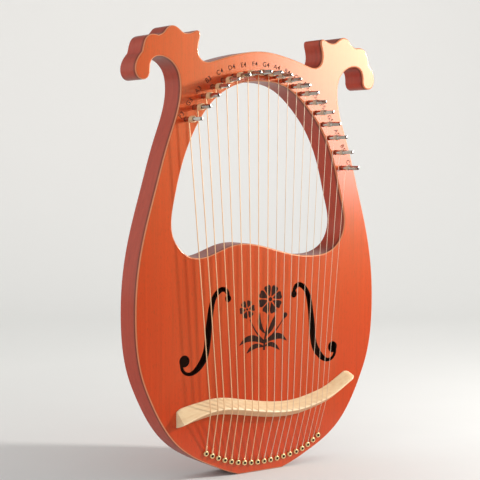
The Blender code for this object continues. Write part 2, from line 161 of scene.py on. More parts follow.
def chord_lengths(points):
    points = np.asarray(points, float)
    return np.concatenate([[0], np.cumsum(np.linalg.norm(np.diff(points, axis=0), axis=1))])


def thinned(points, turn_per_point=math.radians(3), longest=7.0):
    """Drops points of a dense run where it hardly turns."""
    kept = [points[0]]
    turned = 0.0
    for before, here, after in zip(points, points[1:], points[2:]):
        first = here - before
        second = after - here
        cross = first[0] * second[1] - first[1] * second[0]
        turned += abs(math.atan2(cross, float(np.dot(first, second))))
        if turned >= turn_per_point or np.linalg.norm(here - kept[-1]) > longest:
            kept.append(here)
            turned = 0.0
    kept.append(points[-1])
    return kept


def smooth_run(points):
    lengths = chord_lengths(points)
    dense = spline(lengths, points, np.linspace(0, lengths[-1], 16 * len(points)))
    return thinned(dense)


def smooth_loop(points):
    lap = 4
    wrapped = points[-lap:] + points + points[:lap + 1]
    lengths = chord_lengths(wrapped)
    at = np.linspace(lengths[lap], lengths[lap + len(points)], 16 * len(points))
    return thinned(spline(lengths, wrapped, at))[:-1]


def mirrored(points):
    return [(-x, z) for x, z in reversed(points)]


def body_outline():
    """The right side from the foot to the horn, over the top, and down the left side."""
    right = []
    for run in (FLANK, HORN_TIP, HORN_LOBE, CROWN_LOBE):
        right += [tuple(p) for p in smooth_run(run)][:-1]
    top = [tuple(p) for p in smooth_run(BEAK_AND_NECK + mirrored(BEAK_AND_NECK)[1:])]
    return right + top + mirrored(right)


def offset(loop, distance):
    """The closed loop moved outward by the distance, or inward if it is negative."""
    loop = np.asarray(loop, float)
    ahead = np.roll(loop, -1, axis=0) - loop
    ahead /= np.linalg.norm(ahead, axis=1)[:, None]
    behind = np.roll(ahead, 1, axis=0)
    area = np.sum(loop[:, 0] * np.roll(loop[:, 1], -1) - loop[:, 1] * np.roll(loop[:, 0], -1))
    side = np.sign(area)
    normal_ahead = np.stack([ahead[:, 1], -ahead[:, 0]], axis=1) * side
    normal_behind = np.stack([behind[:, 1], -behind[:, 0]], axis=1) * side
    bisector = normal_ahead + normal_behind
    scale = 2 / np.maximum(np.sum(bisector ** 2, axis=1), 1.0)
    return loop + bisector * scale[:, None] * distance


def circle(x, z, radius, sides):
    turn = 2 * math.pi / sides
    return [(x + radius * math.cos(turn * i), z + radius * math.sin(turn * i))
            for i in range(sides)]


# ---- meshes ----------------------------------------------------------------------------------
def mesh_of(name, vertices, faces):
    work = bmesh.new()
    made = [work.verts.new([c * MM for c in v]) for v in vertices]
    for face in faces:
        work.faces.new([made[i] for i in face])
    bmesh.ops.recalc_face_normals(work, faces=work.faces[:])
    mesh = bpy.data.meshes.new(name)
    work.to_mesh(mesh)
    work.free()
    return mesh


def piece(name, vertices, faces):
    thing = bpy.data.objects.new(name, mesh_of(name, vertices, faces))
    bpy.context.scene.collection.objects.link(thing)
    return thing


def loft(rings, closed_ring=False):
    """Vertices and faces through rings of equal size: capped, or joined end to end."""
    count = len(rings[0])
    vertices = [tuple(p) for ring in rings for p in ring]
    faces = []
    levels = len(rings) if closed_ring else len(rings) - 1
    for level in range(levels):
        low = level * count
        high = ((level + 1) % len(rings)) * count
        for i in range(count):
            j = (i + 1) % count
            faces.append([low + i, low + j, high + j, high + i])
    if not closed_ring:
        last = (len(rings) - 1) * count
        faces.append(list(range(count)))
        faces.append([last + i for i in reversed(range(count))])
    return vertices, faces


def together(shapes):
    vertices = []
    faces = []
    for some_vertices, some_faces in shapes:
        start = len(vertices)
        vertices += some_vertices
        faces += [[start + i for i in face] for face in some_faces]
    return vertices, faces


def slab(name, levels):
    """A solid through closed loops, each at its own depth."""
    return piece(name, *loft([[(x, y, z) for x, z in loop] for loop, y in levels]))


def combine(target, other, operation):
    """Applies a Boolean with the other object, keeping each one's own material on its faces."""
    modifier = target.modifiers.new(operation.title(), "BOOLEAN")
    modifier.operation = operation
    modifier.solver = "EXACT"
    modifier.material_mode = "TRANSFER"
    modifier.object = other
    graph = bpy.context.evaluated_depsgraph_get()
    result = bpy.data.meshes.new_from_object(target.evaluated_get(graph))
    target.modifiers.clear()
    target.data = result
    bpy.data.objects.remove(other)


def dress(thing, look, smooth_angle=35, weighted=False):
    """Gives a piece its material, and smooth shading that breaks at edges over the angle."""
    if look is not None:
        thing.data.materials.clear()
        thing.data.materials.append(look)
    thing.data.shade_smooth()
    thing.data.set_sharp_from_angle(angle=math.radians(smooth_angle))
    if weighted:
        modifier = thing.modifiers.new("Weighted", "WEIGHTED_NORMAL")
        modifier.keep_sharp = True
    return thing


def tube(path, radii, sides=8):
    """A swept wire; radii is one number or one for each point."""
    path = np.asarray(path, float)
    radii = np.broadcast_to(radii, len(path))
    rings = []
    side = None
    for i, point in enumerate(path):
        along = path[min(i + 1, len(path) - 1)] - path[max(i - 1, 0)]
        along /= np.linalg.norm(along)
        if side is None:
            side = np.cross(along, (0.0, 1.0, 0.0))
        side = side - np.dot(side, along) * along
        side /= np.linalg.norm(side)
        up = np.cross(along, side)
        rings.append([tuple(point + radii[i] * (math.cos(a) * side + math.sin(a) * up))
                      for a in np.linspace(0, 2 * math.pi, sides, endpoint=False)])
    return loft(rings)


# ---- materials -------------------------------------------------------------------------------
class Look:
    """A Principled material with short names for the nodes it needs."""

    def __init__(self, name):
        self.material = bpy.data.materials.new(name)
        self.material.use_nodes = True
        self.tree = self.material.node_tree
        self.shader = self.tree.nodes["Principled BSDF"]
        self.place = self.tree.nodes.new("ShaderNodeTexCoord").outputs["Object"]

    def feed(self, socket, value):
        if isinstance(value, bpy.types.NodeSocket):
            self.tree.links.new(value, socket)
        else:
            socket.default_value = value

    def set(self, **values):
        for name, value in values.items():
            self.feed(self.shader.inputs[name.replace("_", " ")], value)

    def stretched(self, stretch):
        mapping = self.tree.nodes.new("ShaderNodeMapping")
        mapping.inputs["Scale"].default_value = stretch
        self.tree.links.new(self.place, mapping.inputs["Vector"])
        return mapping.outputs["Vector"]

    def noise(self, stretch, detail=4.0, roughness=0.55, distortion=0.0, seed=0.0):
        node = self.tree.nodes.new("ShaderNodeTexNoise")
        node.noise_dimensions = "4D"
        self.tree.links.new(self.stretched(stretch), node.inputs["Vector"])
        node.inputs["W"].default_value = seed
        node.inputs["Scale"].default_value = 1.0
        node.inputs["Detail"].default_value = detail
        node.inputs["Roughness"].default_value = roughness
        node.inputs["Distortion"].default_value = distortion
        return node.outputs["Fac"]

    def between(self, value, low, high, to_low=0.0, to_high=1.0):
        node = self.tree.nodes.new("ShaderNodeMapRange")
        self.feed(node.inputs["Value"], value)
        node.inputs["From Min"].default_value = low
        node.inputs["From Max"].default_value = high
        node.inputs["To Min"].default_value = to_low
        node.inputs["To Max"].default_value = to_high
        return node.outputs["Result"]

    def maths(self, operation, first, second):
        node = self.tree.nodes.new("ShaderNodeMath")
        node.operation = operation
        self.feed(node.inputs[0], first)
        self.feed(node.inputs[1], second)
        return node.outputs["Value"]

    def axis(self, name):
        node = self.tree.nodes.new("ShaderNodeSeparateXYZ")
        self.tree.links.new(self.place, node.inputs["Vector"])
        return node.outputs[name]

    def mix(self, share, first, second):
        node = self.tree.nodes.new("ShaderNodeMix")
        node.data_type = "RGBA"
        self.feed(node.inputs["Factor"], share)
        for socket, value in ((node.inputs[6], first), (node.inputs[7], second)):
            self.feed(socket, value if isinstance(value, bpy.types.NodeSocket) else (*value, 1))
        return node.outputs[2]

    # Edge mask from pointiness: worn edges, and on the lacquered wood also a painted highlight.
    def wear_and_highlight_edges(self, low=0.52, high=0.60):
        node = self.tree.nodes.new("ShaderNodeNewGeometry")
        return self.between(node.outputs["Pointiness"], low, high)

    def bump(self, height, strength, distance=0.0002):
        node = self.tree.nodes.new("ShaderNodeBump")
        node.inputs["Strength"].default_value = strength
        node.inputs["Distance"].default_value = distance
        self.feed(node.inputs["Height"], height)
        self.tree.links.new(node.outputs["Normal"], self.shader.inputs["Normal"])


def mahogany():
    """Red-orange lacquered wood, grain along Z: dark end grain, satin sides, glossier faces."""
    look = Look("lacquered_mahogany")
    normal = look.tree.nodes.new("ShaderNodeSeparateXYZ")
    shape = look.tree.nodes.new("ShaderNodeNewGeometry")
    look.tree.links.new(shape.outputs["Normal"], normal.inputs["Vector"])
    flat = look.between(look.maths("ABSOLUTE", normal.outputs["Y"], 0.0), 0.70, 0.97)
    end = look.between(look.maths("ABSOLUTE", normal.outputs["Z"], 0.0), 0.45, 0.98)
    bands = look.noise((15, 15, 1.3), detail=3, distortion=0.5)
    streaks = look.noise((260, 260, 5), detail=5, roughness=0.6, seed=3.0)
    fibres = look.noise((1700, 1700, 45), detail=3, roughness=0.6, seed=7.0)
    pores = look.noise((1500, 1500, 120), detail=2, roughness=0.5, seed=11.0)
    colour = look.mix(look.between(bands, 0.35, 0.68), (0.54, 0.014, 0.002), (0.61, 0.022, 0.003))
    colour = look.mix(look.between(streaks, 0.48, 0.72, 0.0, 0.55), colour, (0.68, 0.040, 0.006))
    colour = look.mix(look.between(streaks, 0.44, 0.26, 0.0, 0.50), colour, (0.27, 0.016, 0.006))
    colour = look.mix(look.between(fibres, 0.40, 0.70, 0.0, 0.16), colour, (0.30, 0.02, 0.008))
    pore = look.between(pores, 0.655, 0.72, 0.0, 0.6)
    colour = look.mix(pore, colour, (0.16, 0.014, 0.008))
    flecks = look.noise((900, 900, 210), detail=2, roughness=0.6, seed=17.0)
    colour = look.mix(look.between(flecks, 0.56, 0.70, 0.0, 0.42), colour, (0.24, 0.014, 0.006))
    colour = look.mix(look.maths("MULTIPLY", end, 0.55), colour, (0.13, 0.022, 0.014))
    # Lighter edges: partly wear of the lacquer, partly a painted highlight on the rounded edges.
    colour = look.mix(look.maths("MULTIPLY", look.wear_and_highlight_edges(), 0.22), colour, (0.66, 0.16, 0.06))
    # Painted shade: faces turned away from the front and back are darkened.
    colour = look.mix(look.between(flat, 0.0, 1.0, 0.28, 0.0), colour, (0.17, 0.030, 0.016))

    # Behind the front edge: a band of painted shade, the dark glue line, and a light line along the
    # rounded edge that is a painted highlight.
    depth = look.maths("SUBTRACT", look.axis("Y"), FRONT * MM)
    band = look.maths("MULTIPLY", look.between(depth, 0.0012, 0.0020),
                    look.between(depth, 0.0032, 0.0065, 1.0, 0.0))
    colour = look.mix(look.maths("MULTIPLY", band, 0.5), colour, (0.12, 0.010, 0.005))
    seam = look.maths("ABSOLUTE", look.maths("SUBTRACT", depth, 0.0030), 0.0)
    colour = look.mix(look.between(seam, 0.0003, 0.0007, 0.8, 0.0), colour, (0.05, 0.006, 0.004))
    # Painted highlight: a thin light line on the rounding of the front edge.
    painted_rim_highlight = look.maths("MULTIPLY", look.between(depth, 0.00002, 0.0002),
                   look.between(depth, 0.0010, 0.0014, 1.0, 0.0))
    painted_rim_highlight = look.maths("MULTIPLY", painted_rim_highlight, look.between(bands, 0.30, 0.65, 0.45, 0.80))
    colour = look.mix(painted_rim_highlight, colour, (0.88, 0.40, 0.21))

    rough = look.between(streaks, 0.3, 0.7, 0.40, 0.34)
    rough = look.maths("SUBTRACT", look.maths("ADD", rough, 0.18), look.maths("MULTIPLY", flat, 0.18))
    look.set(Base_Color=colour, Roughness=rough, IOR=look.between(flat, 0.0, 1.0, 1.38, 1.80),
             Specular_Tint=(1.0, 0.74, 0.10, 1), Coat_Roughness=0.17, Coat_IOR=1.7,
             Coat_Weight=look.between(flat, 0.0, 1.0, 0.35, 1.0))
    height = look.maths("SUBTRACT", look.maths("MULTIPLY", fibres, 0.4), pore)
    look.bump(height, 0.16)
    return look.material


def raw_wood(name, deep, bright):
    """Unlacquered wood, inside cuts and bores."""
    look = Look(name)
    streaks = look.noise((300, 300, 9), detail=5, seed=2.0)
    look.set(Base_Color=look.mix(look.between(streaks, 0.3, 0.7), deep, bright), Roughness=0.75)
    look.bump(streaks, 0.3)
    return look.material


def maple_look():
    """Sanded pale maple, its fine grain running along X, with a satin surface."""
    look = Look("maple")
    streaks = look.noise((14, 420, 420), detail=5, roughness=0.6)
    clouds = look.noise((40, 90, 90), detail=2, seed=5.0)
    flecks = look.noise((160, 1400, 1400), detail=2, seed=9.0)
    colour = look.mix(look.between(streaks, 0.32, 0.70), (0.74, 0.48, 0.25), (0.86, 0.65, 0.39))
    colour = look.mix(look.between(clouds, 0.35, 0.7, 0.0, 0.4), colour, (0.88, 0.70, 0.46))
    colour = look.mix(look.between(flecks, 0.62, 0.74, 0.0, 0.35), colour, (0.52, 0.30, 0.14))
    colour = look.mix(look.maths("MULTIPLY", look.wear_and_highlight_edges(), 0.3), colour, (0.92, 0.76, 0.54))
    look.set(Base_Color=colour, Roughness=look.between(streaks, 0.3, 0.7, 0.50, 0.40),
             Coat_Weight=0.12, Coat_Roughness=0.3)
    look.bump(look.maths("SUBTRACT", streaks, flecks), 0.12)
    return look.material


def metal_look(name, colour, dull, rough, metallic=1.0):
    """Plated or drawn metal: faint draw marks, cloudy tarnish, brighter worn edges."""
    look = Look(name)
    marks = look.noise((900, 60, 900), detail=3, seed=1.0)
    clouds = look.noise((260, 260, 260), detail=3, seed=4.0)
    tint = look.mix(look.between(clouds, 0.42, 0.70, 0.0, 0.25), colour, dull)
    bright = tuple(min(1.0, c * 1.2) for c in colour)
    tint = look.mix(look.maths("MULTIPLY", look.wear_and_highlight_edges(), 0.4), tint, bright)
    look.set(Base_Color=tint, Metallic=metallic,
             Roughness=look.between(marks, 0.3, 0.7, rough - 0.06, rough + 0.08))
    look.bump(marks, 0.10, 0.00005)
    return look.material


def wire_look(name, colour, dull, rough, wrap_mm, ridges):
    """Wire with a fine wrapping or draw marks: ridges along its length, dull between them."""
    look = Look(name)
    ridge = look.tree.nodes.new("ShaderNodeMath")
    ridge.operation = "SINE"
    turns = look.maths("MULTIPLY", look.axis("Z"), 2 * math.pi / (wrap_mm * MM))
    look.tree.links.new(turns, ridge.inputs[0])
    clouds = look.noise((150, 150, 40), detail=3)
    tint = look.mix(look.between(clouds, 0.4, 0.7, 0.0, 0.35), colour, dull)
    tint = look.mix(look.between(ridge.outputs[0], -1, 0.2, ridges, 0.0), tint, dull)
    look.set(Base_Color=tint, Metallic=0.42,
             Roughness=look.between(clouds, 0.3, 0.7, rough, rough + 0.1))
    look.bump(ridge.outputs[0], 0.3 * ridges, 0.0001)
    return look.material


def ink_look(name, deep, thin):
    """Burnt-in print, patchy where the grain took less of it."""
    look = Look(name)
    patches = look.noise((1200, 1200, 90), detail=3, seed=6.0)
    colour = look.mix(look.between(patches, 0.45, 0.72), deep, thin)
    look.set(Base_Color=colour, Roughness=0.7, Specular_IOR_Level=0.12)
    look.bump(patches, 0.15)
    return look.material


# ---- places of the strings -------------------------------------------------------------------
def wire_radius(i):
    return (1.1 + (0.5 - 1.1) * i / (STRINGS - 1)) / 2


def hitch_place(i):
    low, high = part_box(f"hitch_pin_{NOTES[i]}")
    return (low.x + high.x) / 2 / MM, (low.z + high.z) / 2 / MM


def crest_place(i):
    x = CROSSINGS[i]
    xs = [p[0] for p in BRIDGE_CREST]
    zs = [[p[1]] for p in BRIDGE_CREST]
    return x, CREST_Y, float(spline(xs, zs, [x])[0, 0])


# ---- wood ------------------------------------------------------------------------------------
def rounded_levels(loop, sign):
    """Levels from front to back: quarter rounds at both rims, and the glue line of the soundboard
    as a fine groove between. The sign is -1 for a hole.
    """
    levels = []
    for degrees in (90, 67.5, 45, 22.5, 0):
        a = math.radians(degrees)
        levels.append((offset(loop, -sign * EDGE_ROUND * (1 - math.cos(a))),
                       FRONT + EDGE_ROUND * (1 - math.sin(a))))
    for back, deep in ((-0.1, 0.0), (0.05, 0.3), (0.25, 0.3), (0.4, 0.0)):
        levels.append((offset(loop, -sign * deep), SOUNDBOARD_BACK + back))
    for degrees in (0, 22.5, 45, 67.5, 90):
        a = math.radians(degrees)
        levels.append((offset(loop, -sign * EDGE_ROUND * (1 - math.cos(a))),
                       BACK - EDGE_ROUND * (1 - math.sin(a))))
    return levels


def sound_hole(side, look):
    low = FRONT - 1
    high = SOUNDBOARD_BACK + 1
    knots = chord_lengths(F_STEM)
    at = np.linspace(0, knots[-1], 90)
    line = spline(knots, F_STEM, at)
    widths = spline(knots, [[w] for w in F_WIDTHS], at)[:, 0]
    along = np.gradient(line, axis=0)
    along /= np.linalg.norm(along, axis=1)[:, None]
    across = np.stack([-along[:, 1], along[:, 0]], axis=1) * widths[:, None] / 2
    loop = [tuple(p) for p in line + across] + [tuple(p) for p in (line - across)[::-1]]
    shapes = [loop, circle(*F_UPPER_EYE, 32), circle(*F_LOWER_EYE, 40)]
    shapes = [[(side * x, z) for x, z in shape] for shape in shapes]
    cutter = slab("cut", [(shapes[0], low), (shapes[0], high)])
    cutter.data.materials.append(look)
    for eye in shapes[1:]:
        disc = slab("eye", [(eye, low), (eye, high)])
        disc.data.materials.append(look)
        combine(cutter, disc, "UNION")
    return cutter


def make_shell(red, raw, burnt):
    shell = slab("lyre_body", rounded_levels(body_outline(), 1))
    shell.data.materials.append(red)
    opening = smooth_loop(OPENING)
    levels = rounded_levels(opening, -1)
    levels = [(levels[0][0], FRONT - 1)] + levels + [(levels[-1][0], BACK + 1)]
    cutter = slab("cut", levels)
    cutter.data.materials.append(red)
    combine(shell, cutter, "DIFFERENCE")
    pocket = smooth_loop(POCKET)
    cutter = slab("cut", [(pocket, SOUNDBOARD_BACK), (pocket, BACK - BACK_WALL)])
    cutter.data.materials.append(raw)
    combine(shell, cutter, "DIFFERENCE")
    for side in (1, -1):
        combine(shell, sound_hole(side, burnt), "DIFFERENCE")
    bores = []
    for x, z in PIN_FEET:
        rings = [(PIN_RADIUS + 0.4, FRONT - 1), (PIN_RADIUS + 0.4, FRONT),
                 (PIN_RADIUS + 0.15, FRONT + 0.3), (PIN_RADIUS + 0.15, PIN_INNER + 1)]
        bores.append(loft([[(u, y, w) for u, w in circle(x, z, r, 24)] for r, y in rings]))
    for i in range(STRINGS):
        loop = circle(*hitch_place(i), 1.15, 14)
        bores.append(loft([[(u, y, w) for u, w in loop] for y in (FRONT - 1, FRONT + 14.2)]))
    drills = piece("cut", *together(bores))
    drills.data.materials.append(raw)
    combine(shell, drills, "DIFFERENCE")
    dress(shell, None, 33, weighted=True)
    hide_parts("body", "soundboard")
    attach(shell, ROOT)


def make_bridge(look):
    lengths = chord_lengths(BRIDGE_CREST)
    total = lengths[-1]
    straight = list(np.linspace(0, total - BRIDGE_END_ROUND, 70))
    turning = [total - BRIDGE_END_ROUND * (1 - math.sin(math.radians(a)))
               for a in range(8, 89, 8)]
    at = straight + turning
    line = spline(lengths, BRIDGE_CREST, at)
    ahead = spline(lengths, BRIDGE_CREST, np.clip(np.array(at) + 0.5, 0, total))
    behind = spline(lengths, BRIDGE_CREST, np.clip(np.array(at) - 0.5, 0, total))
    height = BRIDGE_FOOT - CREST_Y
    rings = []
    for place, (x, z), direction in zip(at, line, ahead - behind):
        u = max(0.0, (place - (total - BRIDGE_END_ROUND)) / BRIDGE_END_ROUND)
        shrink = math.sqrt(max(0.0, 1 - u * u))
        start = min(1.0, place / 1.2)
        ax, az = direction / np.linalg.norm(direction)
        upright = max(0.0, 1 - place / 30)
        nx, nz = -az * (1 - upright), ax * (1 - upright) + upright
        nx, nz = nx / math.hypot(nx, nz), nz / math.hypot(nx, nz)
        tall = height * (0.35 + 0.65 * shrink) - 0.5 * (1 - start)
        low = float(np.interp(place, *zip(*BRIDGE_LOWER)))
        high = float(np.interp(place, *zip(*BRIDGE_UPPER)))
        middle = (high - low) / 2
        section = [(-low, 0), (-low, 0.8), (-low + 0.25, 1.3), (-1.5, tall - 1.6),
                   (-1.1, tall - 0.8), (-0.6, tall - 0.2), (0, tall), (0.7, tall - 0.15),
                   (1.5, tall - 0.75), (5.5, tall * 0.60), (high - 1.2, 2.2), (high - 0.4, 1.6),
                   (high, 0.9), (high, 0)]
        ring = []
        for across, rise in section:
            across = middle + (across - middle) * shrink
            lean = BRIDGE_END_LEAN * upright * (1 - rise / tall)
            ring.append((x + nx * across - lean, BRIDGE_FOOT - rise, z + nz * across))
        rings.append(ring)
    bridge = piece("bridge_maple", *loft(rings))
    bridge.data.materials.append(look)
    notches = []
    for i in range(STRINGS):
        x, y, z = crest_place(i)
        half = wire_radius(i) + 0.12
        loop = [(x - half, z - 6), (x + half, z - 6), (x + half, z + 6), (x - half, z + 6)]
        notches.append(loft([[(u, level, w) for u, w in loop] for level in (y - 2, y + half)]))
    saw = piece("cut", *together(notches))
    saw.data.materials.append(look)
    combine(bridge, saw, "DIFFERENCE")
    dress(bridge, None, 28, weighted=True)
    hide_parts("bridge")
    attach(bridge, ROOT)


# ---- pins and strings ------------------------------------------------------------------------
def pin_ring(radius, half, square, sides=32):
    """A ring from round (square 0) to a square with eased corners (square 1)."""
    ring = []
    for k in range(sides):
        angle = 2 * math.pi * (k + 0.5) / sides
        c, s = math.cos(angle), math.sin(angle)
        flat = min(half / max(abs(c), abs(s)), half * 1.30)
        reach = (1 - square) * radius + square * flat
        ring.append((reach * c, reach * s))
    return ring


def tuning_pin_mesh(look):
    """A zither pin about its own axis: chamfered square head, shoulder, shank, drilled eye."""
    head_end = PIN_TIP + PIN_HEAD_LENGTH
    levels = [(PIN_TIP, 0, PIN_HEAD_HALF - 0.55, 1), (PIN_TIP + 0.15, 0, PIN_HEAD_HALF - 0.2, 1),
              (PIN_TIP + 0.6, 0, PIN_HEAD_HALF, 1), (head_end - 0.4, 0, PIN_HEAD_HALF + 0.12, 1),
              (head_end + 0.2, PIN_RADIUS, PIN_HEAD_HALF + 0.2, 0.6),
              (head_end + 0.9, PIN_RADIUS - 0.05, 0, 0), (head_end + 1.3, PIN_RADIUS, 0, 0),
              (PIN_INNER - 1.0, PIN_RADIUS, 0, 0), (PIN_INNER, PIN_RADIUS - 0.7, 0, 0)]
    rings = [[(u, y - FRONT, w) for u, w in pin_ring(radius, half, square)]
             for y, radius, half, square in levels]
    pin = piece("pin_pattern", *loft(rings))
    pin.data.materials.append(look)
    drill = [[(0.8 * math.cos(a), -EYE_DEPTH + 0.8 * math.sin(a), level)
              for a in np.linspace(0, 2 * math.pi, 16, endpoint=False)] for level in (-4, 4)]
    cutter = piece("drill", *loft(drill))
    cutter.data.materials.append(look)
    combine(pin, cutter, "DIFFERENCE")
    dress(pin, None, 32)
    mesh = pin.data
    bpy.data.objects.remove(pin)
    return mesh


def coil_turns(i):
    """Turns of wire on a pin; each pin was wound by hand, so they differ."""
    room = (EYE_DEPTH - COIL_START - 0.7) / (2 * wire_radius(i) * COIL_PITCH)
    return min(room, 6.6 + 0.06 * i + 0.9 * math.sin(2.4 * i))


def make_tuning_pin(i, mesh):
    note = NOTES[i]
    x, z = PIN_FEET[i]
    pin = bpy.data.objects.new(f"pin_{note}_steel", mesh)
    bpy.context.scene.collection.objects.link(pin)
    pin.location = (x * MM, FRONT * MM, z * MM)
    pin.rotation_euler = (0, 2 * math.pi * coil_turns(i) + math.pi / 2 + 0.5, 0)
    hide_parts(f"tuning_pin_{note}")
    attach(pin, f"pin_{note}")


def make_coil(i, look):
    """The wire wound on the pin: a level first turn that the string meets at any angle of the pin,
    close turns towards the head, and the end dipping into the eye.
    """
    note = NOTES[i]
    x, z = PIN_FEET[i]
    radius = wire_radius(i)
    wrap = PIN_RADIUS + radius + 0.02
    turns = coil_turns(i)
    pitch = 2 * radius * COIL_PITCH
    steps = int(turns * 22)
    path = []
    for k in range(22):
        angle = math.pi - 2 * math.pi * k / 22
        path.append((x + wrap * math.cos(angle), FRONT - COIL_START, z + wrap * math.sin(angle)))
    for k in range(steps + 1):
        turn = turns * k / steps
        angle = math.pi - 2 * math.pi * turn
        y = FRONT - COIL_START - pitch * turn
        path.append((x + wrap * math.cos(angle), y, z + wrap * math.sin(angle)))
    last = math.pi - 2 * math.pi * turns
    end_y = FRONT - EYE_DEPTH
    for share in (0.35, 0.7, 1.0):
        reach = wrap * (1 - 0.12 * share)
        angle = last - 0.5 * share
        path.append((x + reach * math.cos(angle), y + (end_y - y) * share,
                     z + reach * math.sin(angle)))
    path.append((x + 1.2 * math.cos(angle), end_y, z + 1.2 * math.sin(angle)))
    coil = piece(f"coil_{note}", *tube(path, radius, 8))
    dress(coil, look, 60)
    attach(coil, f"pin_{note}")


def make_string(i, wire, brass):
    """From the ball end over the bridge to the pin, with the twist that holds the ball."""
    note = NOTES[i]
    radius = wire_radius(i)
    ball_x, ball_z = hitch_place(i)
    x, z = PIN_FEET[i]
    mid_y = FRONT - GAP - BALL_LENGTH / 2
    start = Vector((ball_x, mid_y, ball_z + 2.2))
    crest = Vector(crest_place(i))
    crest.y -= 0.1
    end = Vector((x - PIN_RADIUS - radius - 0.02, FRONT - COIL_START, z))
    path = [start]
    path += [start.lerp(crest, s) for s in (0.3, 0.6, 0.9, 0.97)]
    path.append(crest)
    path += [crest.lerp(end, s) for s in (0.01, 0.04, 0.2, 0.4, 0.6, 0.8, 0.97, 1.0)]
    shapes = [tube([tuple(p) for p in path], radius, 10)]
    along = (crest - start).normalized()
    side = along.cross(Vector((0, 1, 0))).normalized()
    up = side.cross(along)
    twist = []
    for k in range(61):
        share = k / 60
        angle = 2 * math.pi * 5 * share
        reach = radius * 1.5 * (1 - 0.35 * share)
        spot = start + along * (0.3 + 6.5 * share)
        twist.append(tuple(spot + reach * (math.cos(angle) * side + math.sin(angle) * up)))
    shapes.append(tube(twist, radius * 0.75, 6))
    string = piece(f"string_{note}_wire", *together(shapes))
    dress(string, wire, 60)
    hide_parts(f"string_{note}")
    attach(string, ROOT)

    profile = [(1.55, -0.9), (1.75, -1.1), (2.35, -1.1), (2.7, -0.85), (2.75, -0.6), (2.45, -0.3),
               (2.45, 0.3), (2.75, 0.6), (2.7, 0.85), (2.35, 1.1), (1.75, 1.1), (1.55, 0.9)]
    rings = []
    for a in np.linspace(0, 2 * math.pi, 28, endpoint=False):
        rings.append([(ball_x + r * math.cos(a), mid_y + y, ball_z + r * math.sin(a))
                      for r, y in profile])
    ball = piece(f"ball_end_{note}", *loft(rings, closed_ring=True))
    dress(ball, brass, 40)
    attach(ball, ROOT)


def make_hitch_pin(i, look):
    note = NOTES[i]
    x, z = hitch_place(i)
    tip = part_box(f"hitch_pin_{note}")[0].y / MM
    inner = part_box(f"hitch_pin_{note}")[1].y / MM
    levels = [(tip, 0.35), (tip + 0.08, 0.65), (tip + 0.25, 0.88), (tip + 0.5, 1.0),
              (inner - 2.0, 1.0), (inner, 0.3)]
    rings = [[(u, y, w) for u, w in circle(x, z, r, 16)] for y, r in levels]
    nail = dress(piece(f"hitch_pin_{note}_steel", *loft(rings)), look, 40)
    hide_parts(f"hitch_pin_{note}")
    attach(nail, ROOT)


# ---- print on the front ----------------------------------------------------------------------
def make_labels(look):
    """The note name of each string, outside its pin and turned along the arch."""
    knots = np.arange(STRINGS)
    spare = spline([0, 2, 5, 9, 12, 18], [[3.6], [5.4], [6.0], [6.4], [7.8], [7.8]], knots)
    for i, note in enumerate(NOTES):
        before = spline(knots, PIN_FEET, [max(i - 0.5, 0)])[0]
        after = spline(knots, PIN_FEET, [min(i + 0.5, STRINGS - 1)])[0]
        along = (after - before) / np.linalg.norm(after - before)
        outward = np.array([-along[1], along[0]])
        spot = np.array(PIN_FEET[i]) + outward * spare[i, 0]
        curve = bpy.data.curves.new(f"label_{note}", "FONT")
        curve.body = note
        curve.size = 7.3 * MM
        curve.align_x = "CENTER"
        curve.align_y = "BOTTOM"
        curve.extrude = 0.03 * MM
        curve.offset = 0.04 * MM
        curve.resolution_u = 4
        curve.space_character = 1.1
        label = bpy.data.objects.new(f"label_{note}", curve)
        bpy.context.scene.collection.objects.link(label)
        angle = math.atan2(along[1], along[0])
        label.location = (spot[0] * MM, (FRONT - 0.04) * MM, spot[1] * MM)
        label.rotation_euler = (math.pi / 2, -angle, 0)
        curve.materials.append(look)
        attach(label, ROOT)


def petal(root, angle, length, width, notch=0.0):
    """A petal from its root: narrow foot, broad round end, with a dip in the tip if asked."""
    steps = 16
    points = []
    for k in range(2 * steps + 1):
        t = k / (2 * steps)
        a = math.pi * (2 * t - 1)
        reach = 0.5 + 0.5 * math.cos(a)
        u = length * reach * (1 - notch * math.exp(-(a / 0.35) ** 2))
        v = width / 2 * math.sin(a) * (0.55 + 0.45 * math.cos(a)) * 1.18
        points.append((root[0] + u * math.cos(angle) - v * math.sin(angle),
                       root[1] + u * math.sin(angle) + v * math.cos(angle)))
    return points[:-1]


def blade(line, widths):
    """A stem or leaf along a smooth line, with its width given at each point of the line."""
    lengths = chord_lengths(line)
    at = np.linspace(0, lengths[-1], 26)
    middle = spline(lengths, line, at)
    half = np.maximum(spline(lengths, [[w] for w in widths], at), 0.15) / 2
    along = np.gradient(middle, axis=0)
    along /= np.linalg.norm(along, axis=1)[:, None]
    across = np.stack([-along[:, 1], along[:, 0]], axis=1) * half
    return [tuple(p) for p in middle + across] + [tuple(p) for p in (middle - across)[::-1]]


